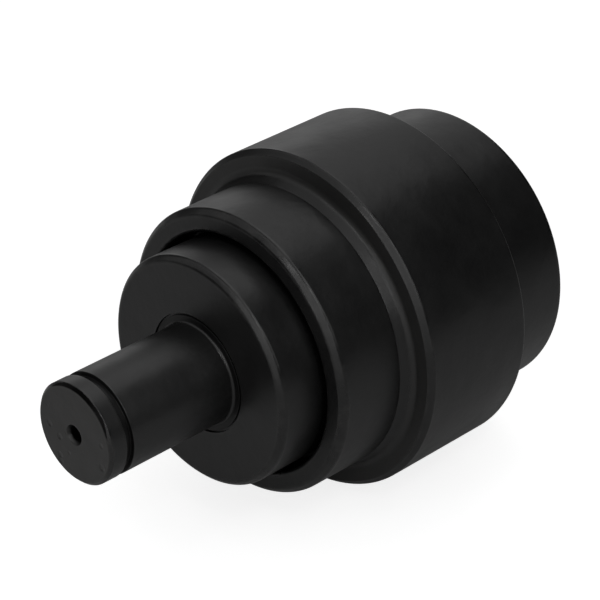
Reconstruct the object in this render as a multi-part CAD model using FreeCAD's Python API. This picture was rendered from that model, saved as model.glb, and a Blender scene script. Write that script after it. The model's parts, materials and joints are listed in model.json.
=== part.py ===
"""Excavator carrier roller.

A heavy roller turns on a fixed shaft. The shaft's plain end is clamped in a bracket on the track
frame, and the roller's two treads carry the rails of the track chain as it runs back over the top.

Sizes are in millimetres. The axis lies along Y: the clamped journal points to -Y and the covered
end to +Y. The origin is on the axis, halfway along the clamped length.
"""
import FreeCAD, Part
import math
import os

Vector = FreeCAD.Vector

# Clearances
running_gap = 0.06
seat_gap = 0.02
thread_gap = 0.05
bolt_hole_gap = 0.45
washer_bore_gap = 0.25
oil_film = 0.02
thrust_gap = 0.4

# Edges
fine_edge = 0.5
turned_edge = 1.0

# Shaft: clamped journal
journal_radius = 25.0
clamp_length = 60.0
groove_width = 4.0
groove_depth = 2.2
tip_length = 9.5
tip_chamfer = 1.6
journal_fillet = 1.0
centre_hole_mouth_radius = 5.1
centre_hole_pilot_radius = 2.5
centre_hole_pilot_length = 6.0
centre_hole_angle = 60.0
drill_point_angle = 118.0

# Shaft: collar seat and bearing length
collar_seat_radius = 29.6
bearing_radius = 33.0
waist_depth = 1.5
gallery_radius = 5.0
oil_hole_radius = 4.0
gallery_past_hole = 2.0

# Seal collar
collar_radius = 57.25
collar_in_view = 23.8
collar_in_recess = 16.0
collar_chamfer = 2.4
collar_sleeve_radius = 35.0

# Roller shell
shell_length = 152.0
tread_radius = 71.5
tread_chamfer = 2.8
flange_radius = 85.6
flange_width = 66.5
flange_chamfer = 2.8
tread_fillet = 6.0
tread_relief_depth = 0.35
recess_radius = 61.3
recess_side_gap = 2.0
recess_fillet = 1.5
bush_bore_radius = 38.0
oil_pocket_radius = 46.0
oil_pocket_inset = 3.0

# Bushes, one at each end of the bearing length
bush_spacing = 22.0
bush_flange_radius = 44.0
bush_flange_thickness = 5.0

# Floating seal: two lapped metal rings, each squeezed forward by a rubber ring on two ramps
seal_face_radius = 47.5
seal_band_width = 3.0
seal_bore_radius = 37.0
seal_ring_length = 15.0
seal_rim_thickness = 4.0
seal_ramp_radius = 43.5
seal_ramp_angle = 18.0
seal_bead_height = 0.65
seal_bead_length = 1.0
seal_face_relief = 0.5
seal_cavity_depth = 17.0
toric_section = 9.5
toric_squeezed = 7.6
toric_depth = 10.0

# Thrust plate on the shaft's covered end
plate_radius = 40.5
plate_thickness = 10.0
plate_hole_radius = 7.0
plate_bolt_circle_radius = 20.0
plate_bolt_count = 3
plate_bolt_thread = 10.0
plate_bolt_flats = 17.0
plate_bolt_head = 6.4
plate_bolt_length = 30.0
plate_washer_radius = 8.9
plate_washer_thickness = 2.2

# Thrust washer between the plate and the cover, held by two pins
washer_inner_radius = 32.5
washer_thickness = 3.0
pin_radius = 2.0
pin_length = 5.5
pin_below_face = 1.0
pin_circle_radius = 37.2
pin_count = 2

# Cover
cover_recess_radius = 63.0
cover_recess_depth = 16.0
cover_recess_edge = 1.5
cover_side_gap = 0.4
cover_rim_thickness = 8.0
spigot_radius = 47.0
spigot_inner_radius = 42.5
spigot_length = 7.8
spigot_bore_depth = 10.0
cover_land_depth = 2.0
cover_pocket_radius = 31.5
cover_wall = 7.0
cover_boss_radius = 38.5
cover_boss_slope = 2.0
cover_fillet = 2.0
head_room = 1.0
cover_bolt_circle_radius = 54.5
cover_bolt_count = 3
cover_bolt_thread = 8.0
cover_bolt_flats = 13.0
cover_bolt_head = 5.3
cover_bolt_length = 20.0
cover_washer_radius = 7.1
cover_washer_thickness = 2.0
plug_radius = 6.6
plug_length = 6.5
plug_key = 6.0
plug_key_depth = 4.0

# All bolts and washers
bolt_crown_share = 0.95
bolt_crown_angle = 30.0
bolt_point_share = 0.2
tapped_runout = 4.0
washer_split = 1.4
washer_split_angle = 25.0

# Rubber rings, with their free section and the depth of their grooves
collar_ring_section = 3.5
collar_ring_groove_depth = 2.8
collar_ring_inset = 6.5
cover_ring_section = 2.6
cover_ring_groove_depth = 2.0
cover_ring_inset = 1.8
ring_side_room = 1.15

# Places along the axis
shoulder_y = clamp_length / 2
groove_inner_y = -clamp_length / 2
groove_outer_y = groove_inner_y - groove_width
tip_y = groove_outer_y - tip_length
collar_rear_y = shoulder_y + collar_in_view + collar_in_recess
shell_front_y = shoulder_y + collar_in_view
shell_rear_y = shell_front_y + shell_length
shell_middle_y = (shell_front_y + shell_rear_y) / 2
flange_front_y = shell_middle_y - flange_width / 2
flange_rear_y = shell_middle_y + flange_width / 2
recess_floor_y = collar_rear_y + recess_side_gap
seal_plane_y = collar_rear_y + recess_side_gap / 2
collar_cavity_y = seal_plane_y - seal_cavity_depth
shell_cavity_y = seal_plane_y + seal_cavity_depth
front_bush_y = shell_cavity_y
cover_seat_y = shell_rear_y - cover_recess_depth
cover_rim_y = cover_seat_y + cover_rim_thickness
cover_land_y = cover_seat_y + cover_land_depth
thrust_washer_y = cover_land_y - washer_thickness
plate_outer_y = thrust_washer_y - thrust_gap
shaft_end_y = plate_outer_y - plate_thickness
rear_bush_y = shaft_end_y - thrust_gap
bush_length = (rear_bush_y - front_bush_y - bush_spacing) / 2
pocket_front_y = front_bush_y + bush_length + oil_pocket_inset
pocket_rear_y = rear_bush_y - bush_length - oil_pocket_inset
oil_hole_y = (pocket_front_y + pocket_rear_y) / 2
cover_pocket_y = plate_outer_y + plate_washer_thickness + plate_bolt_head + head_room
cover_boss_y = cover_pocket_y + cover_wall


def chamfer(size):
    return ("chamfer", size)


def fillet(radius):
    return ("fillet", radius)


def eased(corner, before, after):
    """Return the points where a corner's easing starts and ends, and an arc's middle or None."""
    point = Vector(corner[0], corner[1], 0)
    if len(corner) < 3 or corner[2][1] <= 0:
        return point, point, None
    kind, size = corner[2]
    back = (Vector(before[0], before[1], 0) - point).normalize()
    ahead = (Vector(after[0], after[1], 0) - point).normalize()
    if kind == "chamfer":
        return point + back * size, point + ahead * size, None
    half_angle = back.getAngle(ahead) / 2
    reach = size / math.tan(half_angle)
    depth = size / math.sin(half_angle) - size
    middle = point + (back + ahead).normalize() * depth
    return point + back * reach, point + ahead * reach, middle


def outline(corners):
    """Return a closed face from (radius, y) corners; a third entry eases that corner."""
    count = len(corners)
    stops = [eased(corners[i], corners[i - 1], corners[(i + 1) % count]) for i in range(count)]
    edges = []
    for i, (start, end, middle) in enumerate(stops):
        if middle is not None:
            edges.append(Part.Arc(start, middle, end).toShape())
        elif (end - start).Length > 0:
            edges.append(Part.LineSegment(start, end).toShape())
        following = stops[(i + 1) % count][0]
        if (following - end).Length > 1e-6:
            edges.append(Part.LineSegment(end, following).toShape())
    return Part.Face(Part.Wire(edges))


def turned(corners):
    """Turn an outline of (radius, y) corners about the roller's axis."""
    solid = outline(corners).revolve(Vector(0, 0, 0), Vector(0, 1, 0), 360)
    if solid.Volume < 0:
        solid.reverse()
    return solid


def drilled(radius, place, direction, length):
    return Part.makeCylinder(radius, length, place, direction)


def around(shape, count, start_angle=90.0):
    """Copy a shape that lies on the +X side to evenly spaced places round the axis."""
    copies = []
    for i in range(count):
        copy = shape.copy()
        copy.rotate(Vector(0, 0, 0), Vector(0, 1, 0), -start_angle - i * 360.0 / count)
        copies.append(copy)
    return copies


def ramp_radius(depth):
    """Radius of a seal ring's ramp at a depth behind its lapped face."""
    return seal_ramp_radius - (depth - seal_rim_thickness) * math.tan(math.radians(seal_ramp_angle))


def housing_radius(depth):
    """Radius of the ramp in the collar or the shell that faces the seal ring's ramp."""
    across = toric_squeezed / math.cos(math.radians(seal_ramp_angle))
    return ramp_radius(depth) + across


def squeezed_length(free_section, height):
    """Width that a round rubber section takes when it is squeezed to a height."""
    flat = math.pi / 4 * (free_section ** 2 - height ** 2) / height
    return flat + height


def hexagon(flats, y_low, y_high):
    corner = flats / math.sqrt(3)
    points = []
    for i in range(7):
        angle = math.radians(60 * i)
        points.append(Vector(corner * math.cos(angle), y_low, corner * math.sin(angle)))
    face = Part.Face(Part.makePolygon(points))
    return face.extrude(Vector(0, y_high - y_low, 0))


def hex_bolt(thread, flats, head, length, seat_y):
    """Hex bolt on the axis with its head above seat_y and its shank towards -Y."""
    head_y = seat_y + head
    corner = flats / math.sqrt(3)
    crown_radius = flats / 2 * bolt_crown_share
    drop = (corner - crown_radius) * math.tan(math.radians(bolt_crown_angle))
    crown = turned([(0, seat_y), (corner, seat_y), (corner, head_y - drop),
                    (crown_radius, head_y), (0, head_y)])
    shank_radius = thread / 2
    point = chamfer(shank_radius * bolt_point_share)
    shank = turned([(0, seat_y - length), (shank_radius, seat_y - length, point),
                    (shank_radius, seat_y), (0, seat_y)])
    return hexagon(flats, seat_y, head_y).common(crown).fuse(shank).removeSplitter()


def spring_washer(thread, radius, thickness, y_low):
    """Split spring washer on the axis, resting at y_low."""
    bore = thread / 2 + washer_bore_gap
    y_high = y_low + thickness
    ring = turned([(bore, y_low), (radius, y_low), (radius, y_high), (bore, y_high)])
    slot = Part.makeBox(radius * 2, thickness * 3, washer_split)
    slot.translate(Vector(0, y_low - thickness, -washer_split / 2))
    slot.rotate(Vector(0, y_low + thickness / 2, 0), Vector(1, 0, 0), washer_split_angle)
    return ring.cut(slot)


def moved_out(shape, radius):
    copy = shape.copy()
    copy.translate(Vector(radius, 0, 0))
    return copy


def rubber_ring(inner_radius, outer_radius, middle_y, free_section):
    """O-ring squeezed between two cylinders."""
    height = outer_radius - inner_radius
    half = squeezed_length(free_section, height) / 2
    round_end = fillet(height / 2)
    return turned([(inner_radius, middle_y - half, round_end), (outer_radius, middle_y - half, round_end),
                   (outer_radius, middle_y + half, round_end), (inner_radius, middle_y + half, round_end)])


def groove_half_width(free_section, height):
    return squeezed_length(free_section, height) / 2 * ring_side_room


def make_shaft():
    groove_radius = journal_radius - groove_depth
    ring_radius = collar_seat_radius - collar_ring_groove_depth
    ring_y = shoulder_y + collar_ring_inset
    ring_half = groove_half_width(collar_ring_section, collar_ring_groove_depth)
    waist_front = pocket_front_y - oil_pocket_inset
    waist_rear = pocket_rear_y + oil_pocket_inset
    cone_slope = math.tan(math.radians(centre_hole_angle / 2))
    mouth_depth = (centre_hole_mouth_radius - centre_hole_pilot_radius) / cone_slope
    pilot_end = tip_y + mouth_depth + centre_hole_pilot_length
    drill_point = 1 / math.tan(math.radians(drill_point_angle / 2))
    gallery_end = oil_hole_y - oil_hole_radius - gallery_past_hole
    body = turned([
        (0, pilot_end + centre_hole_pilot_radius * drill_point),
        (centre_hole_pilot_radius, pilot_end),
        (centre_hole_pilot_radius, tip_y + mouth_depth),
        (centre_hole_mouth_radius, tip_y),
        (journal_radius, tip_y, chamfer(tip_chamfer)),
        (journal_radius, groove_outer_y),
        (groove_radius, groove_outer_y),
        (groove_radius, groove_inner_y),
        (journal_radius, groove_inner_y),
        (journal_radius, shoulder_y, fillet(journal_fillet)),
        (collar_seat_radius, shoulder_y, chamfer(fine_edge)),
        (collar_seat_radius, ring_y - ring_half),
        (ring_radius, ring_y - ring_half),
        (ring_radius, ring_y + ring_half),
        (collar_seat_radius, ring_y + ring_half),
        (collar_seat_radius, collar_rear_y),
        (bearing_radius, collar_rear_y, chamfer(turned_edge)),
        (bearing_radius, waist_front),
        (bearing_radius - waist_depth, waist_front + waist_depth),
        (bearing_radius - waist_depth, waist_rear - waist_depth),
        (bearing_radius, waist_rear),
        (bearing_radius, shaft_end_y, chamfer(turned_edge)),
        (gallery_radius, shaft_end_y, chamfer(fine_edge)),
        (gallery_radius, gallery_end),
        (0, gallery_end - gallery_radius * drill_point),
    ])
    cuts = [drilled(oil_hole_radius, Vector(-bearing_radius, oil_hole_y, 0), Vector(1, 0, 0),
                    2 * bearing_radius)]
    tap_radius = plate_bolt_thread / 2 + thread_gap
    reach = plate_bolt_length - plate_thickness - plate_washer_thickness + tapped_runout
    hole = drilled(tap_radius, Vector(plate_bolt_circle_radius, shaft_end_y, 0), Vector(0, -1, 0), reach)
    cuts += around(hole, plate_bolt_count)
    return body.cut(cuts)


def make_seal_collar():
    bore = collar_seat_radius + seat_gap
    mouth_depth = seal_plane_y - collar_rear_y
    return turned([
        (bore, shoulder_y, chamfer(fine_edge)),
        (collar_radius, shoulder_y, chamfer(collar_chamfer)),
        (collar_radius, collar_rear_y, chamfer(turned_edge)),
        (housing_radius(mouth_depth), collar_rear_y, chamfer(fine_edge)),
        (housing_radius(seal_cavity_depth), collar_cavity_y, fillet(recess_fillet)),
        (collar_sleeve_radius, collar_cavity_y, fillet(recess_fillet)),
        (collar_sleeve_radius, collar_rear_y, chamfer(fine_edge)),
        (bore, collar_rear_y, chamfer(fine_edge)),
    ])


def make_seal_ring(side):
    """One lapped metal ring; side is -1 for the fixed ring and 1 for the turning ring."""
    face_y = seal_plane_y + side * oil_film / 2
    band_radius = seal_face_radius - seal_band_width

    def at(depth):
        return face_y + side * depth

    bead_depth = seal_ring_length - seal_bead_length
    bead_radius = ramp_radius(bead_depth) + seal_bead_height
    return turned([
        (seal_bore_radius, at(seal_face_relief), chamfer(fine_edge)),
        (band_radius, at(0)),
        (seal_face_radius, at(0), chamfer(fine_edge)),
        (seal_face_radius, at(seal_rim_thickness), chamfer(fine_edge)),
        (ramp_radius(seal_rim_thickness), at(seal_rim_thickness), fillet(turned_edge)),
        (ramp_radius(bead_depth), at(bead_depth)),
        (bead_radius, at(bead_depth + seal_bead_length / 2)),
        (bead_radius, at(seal_ring_length), chamfer(seal_bead_length / 4)),
        (seal_bore_radius, at(seal_ring_length), chamfer(fine_edge)),
    ])


def make_toric_ring(side):
    """Rubber ring squeezed between a seal ring's ramp and the housing's ramp."""
    slope = math.radians(seal_ramp_angle)
    width = toric_squeezed - 2 * seat_gap
    half = squeezed_length(toric_section, width) / 2
    middle_radius = ramp_radius(toric_depth) + toric_squeezed / 2 / math.cos(slope)
    corners = []
    for along, across in ((-half, -1), (-half, 1), (half, 1), (half, -1)):
        depth = toric_depth + along * math.cos(slope) + across * width / 2 * math.sin(slope)
        radius = middle_radius - along * math.sin(slope) + across * width / 2 * math.cos(slope)
        corners.append((radius, seal_plane_y + side * depth, fillet(width / 2)))
    return turned(corners)


def make_bush(outer_face_y, side):
    """Bronze bush; side is 1 when its body runs towards +Y from the flange, -1 when it runs to -Y."""
    flange_y = outer_face_y + side * bush_flange_thickness
    end_y = outer_face_y + side * bush_length
    bore = bearing_radius + running_gap
    bush_radius = bush_bore_radius - seat_gap
    return turned([
        (bore, outer_face_y, chamfer(turned_edge)),
        (bush_flange_radius, outer_face_y, chamfer(fine_edge)),
        (bush_flange_radius, flange_y),
        (bush_radius, flange_y),
        (bush_radius, end_y, chamfer(turned_edge)),
        (bore, end_y, chamfer(fine_edge)),
    ])


def make_roller_shell():
    mouth_depth = recess_floor_y - seal_plane_y
    bush_seat = bush_flange_radius + seat_gap
    relief_radius = tread_radius - tread_relief_depth
    front_relief_y = flange_front_y - tread_fillet + tread_relief_depth
    rear_relief_y = flange_rear_y + tread_fillet - tread_relief_depth
    body = turned([
        (recess_radius, shell_front_y, chamfer(turned_edge)),
        (tread_radius, shell_front_y, chamfer(tread_chamfer)),
        (tread_radius, front_relief_y),
        (relief_radius, front_relief_y),
        (relief_radius, flange_front_y, fillet(tread_fillet - tread_relief_depth)),
        (flange_radius, flange_front_y, chamfer(flange_chamfer)),
        (flange_radius, flange_rear_y, chamfer(flange_chamfer)),
        (relief_radius, flange_rear_y, fillet(tread_fillet - tread_relief_depth)),
        (relief_radius, rear_relief_y),
        (tread_radius, rear_relief_y),
        (tread_radius, shell_rear_y, chamfer(tread_chamfer)),
        (cover_recess_radius, shell_rear_y, chamfer(cover_recess_edge)),
        (cover_recess_radius, cover_seat_y),
        (spigot_radius + seat_gap, cover_seat_y, chamfer(turned_edge)),
        (spigot_radius + seat_gap, cover_seat_y - spigot_bore_depth),
        (bush_seat, cover_seat_y - spigot_bore_depth),
        (bush_seat, rear_bush_y - bush_flange_thickness),
        (bush_bore_radius, rear_bush_y - bush_flange_thickness),
        (bush_bore_radius, pocket_rear_y),
        (oil_pocket_radius, pocket_rear_y, fillet(oil_pocket_inset)),
        (oil_pocket_radius, pocket_front_y, fillet(oil_pocket_inset)),
        (bush_bore_radius, pocket_front_y),
        (bush_bore_radius, front_bush_y + bush_flange_thickness),
        (bush_seat, front_bush_y + bush_flange_thickness),
        (bush_seat, shell_cavity_y),
        (housing_radius(seal_cavity_depth), shell_cavity_y, fillet(recess_fillet)),
        (housing_radius(mouth_depth), recess_floor_y, chamfer(fine_edge)),
        (recess_radius, recess_floor_y, fillet(recess_fillet)),
    ])
    tap_radius = cover_bolt_thread / 2 + thread_gap
    reach = cover_bolt_length - cover_rim_thickness - cover_washer_thickness + tapped_runout
    hole = drilled(tap_radius, Vector(cover_bolt_circle_radius, cover_seat_y, 0), Vector(0, -1, 0), reach)
    return body.cut(around(hole, cover_bolt_count))


def make_collar_o_ring():
    floor = collar_seat_radius - collar_ring_groove_depth + seat_gap
    return rubber_ring(floor, collar_seat_radius, shoulder_y + collar_ring_inset, collar_ring_section)


def make_cover_o_ring():
    floor = spigot_radius - cover_ring_groove_depth + seat_gap
    return rubber_ring(floor, spigot_radius, cover_ring_y(), cover_ring_section)


def cover_ring_y():
    half = groove_half_width(cover_ring_section, cover_ring_groove_depth)
    return cover_seat_y - cover_ring_inset - half


def make_thrust_plate():
    plate = turned([
        (plate_hole_radius, shaft_end_y, chamfer(fine_edge)),
        (plate_radius, shaft_end_y, chamfer(turned_edge)),
        (plate_radius, plate_outer_y, chamfer(turned_edge)),
        (plate_hole_radius, plate_outer_y, chamfer(fine_edge)),
    ])
    hole_radius = plate_bolt_thread / 2 + bolt_hole_gap
    hole = drilled(hole_radius, Vector(plate_bolt_circle_radius, shaft_end_y, 0), Vector(0, 1, 0),
                   plate_thickness)
    return plate.cut(around(hole, plate_bolt_count))


def make_plate_bolts():
    seat_y = plate_outer_y + plate_washer_thickness
    bolt = hex_bolt(plate_bolt_thread, plate_bolt_flats, plate_bolt_head, plate_bolt_length, seat_y)
    return around(moved_out(bolt, plate_bolt_circle_radius), plate_bolt_count)


def make_plate_washers():
    washer = spring_washer(plate_bolt_thread, plate_washer_radius, plate_washer_thickness, plate_outer_y)
    return around(moved_out(washer, plate_bolt_circle_radius), plate_bolt_count)


def make_thrust_washer():
    washer = turned([
        (washer_inner_radius, thrust_washer_y, chamfer(fine_edge)),
        (spigot_inner_radius - seat_gap, thrust_washer_y, chamfer(fine_edge)),
        (spigot_inner_radius - seat_gap, cover_land_y),
        (washer_inner_radius, cover_land_y),
    ])
    hole = drilled(pin_radius + seat_gap, Vector(pin_circle_radius, thrust_washer_y, 0),
                   Vector(0, 1, 0), washer_thickness)
    return washer.cut(around(hole, pin_count, 0))


def make_thrust_washer_pins():
    low_y = thrust_washer_y + pin_below_face
    pin = turned([(0, low_y), (pin_radius, low_y, chamfer(fine_edge)),
                  (pin_radius, low_y + pin_length, chamfer(fine_edge)), (0, low_y + pin_length)])
    return around(moved_out(pin, pin_circle_radius), pin_count, 0)


def make_rear_cover():
    ring_half = groove_half_width(cover_ring_section, cover_ring_groove_depth)
    ring_floor = spigot_radius - cover_ring_groove_depth
    ring_y = cover_ring_y()
    rim_radius = cover_recess_radius - cover_side_gap
    end_y = cover_seat_y - spigot_length
    body = turned([
        (0, cover_pocket_y),
        (cover_pocket_radius, cover_pocket_y, fillet(cover_fillet)),
        (cover_pocket_radius, cover_land_y),
        (spigot_inner_radius, cover_land_y),
        (spigot_inner_radius, end_y, chamfer(fine_edge)),
        (spigot_radius, end_y, chamfer(turned_edge)),
        (spigot_radius, ring_y - ring_half),
        (ring_floor, ring_y - ring_half),
        (ring_floor, ring_y + ring_half),
        (spigot_radius, ring_y + ring_half),
        (spigot_radius, cover_seat_y),
        (rim_radius, cover_seat_y, chamfer(fine_edge)),
        (rim_radius, cover_rim_y, chamfer(turned_edge)),
        (cover_boss_radius + cover_boss_slope, cover_rim_y, fillet(cover_fillet)),
        (cover_boss_radius, cover_boss_y, fillet(cover_fillet)),
        (0, cover_boss_y),
    ])
    hole_radius = cover_bolt_thread / 2 + bolt_hole_gap
    bolt_hole = drilled(hole_radius, Vector(cover_bolt_circle_radius, cover_seat_y, 0), Vector(0, 1, 0),
                        cover_rim_thickness)
    pin_depth = pin_below_face + pin_length - washer_thickness
    pin_hole = drilled(pin_radius + seat_gap, Vector(pin_circle_radius, cover_land_y, 0),
                       Vector(0, 1, 0), pin_depth)
    plug_hole = drilled(plug_radius + thread_gap, Vector(0, cover_pocket_y, 0), Vector(0, 1, 0), cover_wall)
    return body.cut([plug_hole] + around(bolt_hole, cover_bolt_count) + around(pin_hole, pin_count, 0))


def make_cover_bolts():
    seat_y = cover_rim_y + cover_washer_thickness
    bolt = hex_bolt(cover_bolt_thread, cover_bolt_flats, cover_bolt_head, cover_bolt_length, seat_y)
    return around(moved_out(bolt, cover_bolt_circle_radius), cover_bolt_count)


def make_cover_washers():
    washer = spring_washer(cover_bolt_thread, cover_washer_radius, cover_washer_thickness, cover_rim_y)
    return around(moved_out(washer, cover_bolt_circle_radius), cover_bolt_count)


def make_fill_plug():
    top_y = cover_boss_y - fine_edge
    plug = turned([(0, top_y - plug_length), (plug_radius, top_y - plug_length, chamfer(fine_edge)),
                   (plug_radius, top_y, chamfer(fine_edge)), (0, top_y)])
    return plug.cut(hexagon(plug_key, top_y - plug_key_depth, top_y))


pieces = {
    "shaft": make_shaft(),
    "seal_collar": make_seal_collar(),
    "collar_o_ring": make_collar_o_ring(),
    "fixed_seal_ring": make_seal_ring(-1),
    "fixed_toric_ring": make_toric_ring(-1),
    "turning_seal_ring": make_seal_ring(1),
    "turning_toric_ring": make_toric_ring(1),
    "roller_shell": make_roller_shell(),
    "front_bush": make_bush(front_bush_y, 1),
    "rear_bush": make_bush(rear_bush_y, -1),
    "thrust_plate": make_thrust_plate(),
    "thrust_plate_bolts": make_plate_bolts(),
    "thrust_plate_washers": make_plate_washers(),
    "thrust_washer": make_thrust_washer(),
    "thrust_washer_pins": make_thrust_washer_pins(),
    "rear_cover": make_rear_cover(),
    "cover_o_ring": make_cover_o_ring(),
    "cover_bolts": make_cover_bolts(),
    "cover_washers": make_cover_washers(),
    "fill_plug": make_fill_plug(),
}

os.makedirs("parts", exist_ok=True)
for name, shape in pieces.items():
    if isinstance(shape, list):
        shape = Part.makeCompound(shape)
    shape.exportStep("parts/" + name + ".step")
    print(name, "solids", len(shape.Solids), "valid", shape.isValid(), "volume", round(shape.Volume))
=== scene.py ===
from collections import namedtuple
import json
import math

import bmesh
import bpy
from bpy.props import FloatProperty, FloatVectorProperty, IntProperty, PointerProperty
from mathutils import Matrix, Vector


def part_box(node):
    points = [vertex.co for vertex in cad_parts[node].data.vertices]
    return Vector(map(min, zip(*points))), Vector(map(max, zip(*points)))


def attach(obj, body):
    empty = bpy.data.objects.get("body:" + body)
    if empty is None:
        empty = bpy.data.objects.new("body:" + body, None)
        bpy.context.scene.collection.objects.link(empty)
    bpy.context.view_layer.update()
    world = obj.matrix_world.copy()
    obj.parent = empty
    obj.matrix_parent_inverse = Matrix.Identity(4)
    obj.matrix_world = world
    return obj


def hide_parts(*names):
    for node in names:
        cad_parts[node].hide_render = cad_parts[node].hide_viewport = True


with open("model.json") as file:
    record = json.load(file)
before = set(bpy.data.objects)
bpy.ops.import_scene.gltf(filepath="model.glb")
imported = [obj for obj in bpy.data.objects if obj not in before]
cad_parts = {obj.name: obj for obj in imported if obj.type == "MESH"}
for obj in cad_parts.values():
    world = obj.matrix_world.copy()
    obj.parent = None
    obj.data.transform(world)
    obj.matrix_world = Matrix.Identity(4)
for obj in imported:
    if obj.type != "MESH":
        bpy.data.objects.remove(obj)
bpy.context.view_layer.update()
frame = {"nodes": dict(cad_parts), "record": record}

bl_info = {
    "name": "Carrier Roller",
    "version": (1, 0, 0),
    "blender": (4, 5, 0),
    "location": "View3D > Sidebar > Roller",
    "description": "Builds the painted pieces, the inner pieces' finishes and the stage of a carrier roller",
    "category": "Add Mesh",
}

AXIS = Vector((0, 1, 0))
FIXED = "fixed_shaft"
TURNING = "roller"

# Corners of an outline, in metres: chamfers and roundings too small to set one by one
LEAD = 0.001
SMALL_CUT = 0.0005
SLIGHT = 0.0003
FINE = 0.0002
HAIR = 0.0001
# How far a cutter, or a band of painted shade, goes past the surface it belongs to
PAST = 0.001

# What is nearer to the axis than this is on it
ON_AXIS = 1e-6
# A rounding takes at most this share of the lines beside it, and one step for each such turn
LARGEST_SHARE = 0.45
ARC_STEP = math.radians(11)
# Lines longer than this many times the reach of wear get a point near each end
LONG_EDGE = 2.5
# Vertex attributes: where paint rubs off and where it runs together
MARKS = ("worn", "pooled")

# Part of a surface between two Y places and inside a radius, with how softly and how strongly it shows
Band = namedtuple("Band", "low high radius softness share")

# Azimuth and elevation in degrees, width and height in metres, and brightness, where 1 looks white
SOFTBOXES = {
    "softbox_back_low": (224, 12, 1.8, 0.9, 0.7),
    "softbox_back": (226, 40, 1.4, 1.0, 0.4),
    "softbox_top_back": (205, 64, 1.4, 1.0, 1.0),
    "softbox_top": (120, 80, 1.2, 1.1, 0.8),
    "softbox_right_top": (92, 54, 1.0, 1.0, 1.3),
    "softbox_right": (98, 28, 0.9, 0.9, 0.9),
    "softbox_top_front": (0, 58, 1.3, 1.0, 0.7),
    "softbox_left_top": (303, 52, 1.4, 1.1, 0.5),
    "softbox_left": (300, 22, 1.1, 1.0, 0.35),
    "softbox_front": (30, 30, 1.4, 0.9, 1.1),
    "softbox_front_low": (28, 7, 2.0, 0.7, 0.7),
    "spot_front_low": (5, 9, 0.3, 0.3, 3.5),
    "spot_front_high": (10, 46, 0.3, 0.3, 4.0),
    "spot_side_low": (55, 24, 0.3, 0.3, 6.0),
    "spot_side_high": (60, 48, 0.3, 0.3, 8.0),
}


def length(name, default, description):
    return FloatProperty(name=name, default=default, description=description, precision=5, unit="LENGTH")


def angle(name, degrees, description):
    return FloatProperty(name=name, default=math.radians(degrees), description=description, subtype="ANGLE")


def amount(name, default, description):
    return FloatProperty(name=name, default=default, description=description, min=0.0)


def colour(name, default, description):
    return FloatVectorProperty(name=name, default=default, description=description, subtype="COLOR",
                               size=3, min=0.0, max=1.0)


class RollerShaftSizes(bpy.types.PropertyGroup):
    journal_radius: length("Journal radius", 0.025, "Clamped stub of the shaft")
    tip_chamfer: length("Tip chamfer", 0.0016, "Chamfer at the free end")
    tip_rounding: length("Tip rounding", 0.0006, "Corners of that chamfer")
    groove_width: length("Groove width", 0.004, "Groove near the free end")
    groove_depth: length("Groove depth", 0.0022, "Depth of that groove")
    groove_inset: length("Groove inset", 0.0095, "From the free end to the groove")
    foot_fillet: length("Foot fillet", 0.0015, "Fillet where the journal meets the shoulder")
    seat_radius: length("Collar seat radius", 0.0296, "Shaft under the seal collar")
    joint_slot: length("Joint slot", 0.0009, "Clearance beside the joint with the collar")
    joint_depth: length("Joint slot depth", 0.0012, "Depth of that clearance")
    waist_radius: length("Waist radius", 0.0315, "Relieved shaft between the bushes")
    mouth_radius: length("Centre hole mouth", 0.0051, "Lathe centre in the free end")
    pilot_radius: length("Centre hole pilot", 0.0025, "Drilled pilot of the lathe centre")
    pilot_depth: length("Centre hole depth", 0.0105, "From the free end to the pilot's end")
    gallery_radius: length("Oil gallery radius", 0.005, "Oil gallery from the covered end")
    gallery_stop: length("Oil gallery stop", 0.006, "From its end to the middle between the bushes")
    ring_depth: length("O-ring depth", 0.00282, "From the O-ring's outside to its groove's floor")
    ring_room: length("O-ring room", 0.0003, "Beside the O-ring in its groove")
    mouth_angle: angle("Centre hole angle", 30.0, "Slope of the centre hole's mouth")
    drill_angle: angle("Drill point", 31.0, "Slope at the end of a drilled hole")


class RollerCollarSizes(bpy.types.PropertyGroup):
    front_chamfer: length("Front chamfer", 0.0024, "Chamfer on the collar's front edge")
    sleeve_radius: length("Sleeve radius", 0.035, "Wall between the shaft and the seal")
    bore_gap: length("Bore gap", 0.00002, "Between the collar's bore and the shaft")
    joint_edge: length("Joint edge", 0.00015, "Rounding of the bore at the joint with the shaft")
    cavity_depth: length("Cavity depth", 0.016, "From the collar's rear to the seal cavity's floor")
    cavity_radius: length("Cavity radius", 0.04727, "Seal cavity at its floor")
    mouth_radius: length("Mouth radius", 0.05247, "Seal cavity at its mouth")
    cavity_fillet: length("Cavity fillet", 0.0015, "Fillets at the cavity's floor")


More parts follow.
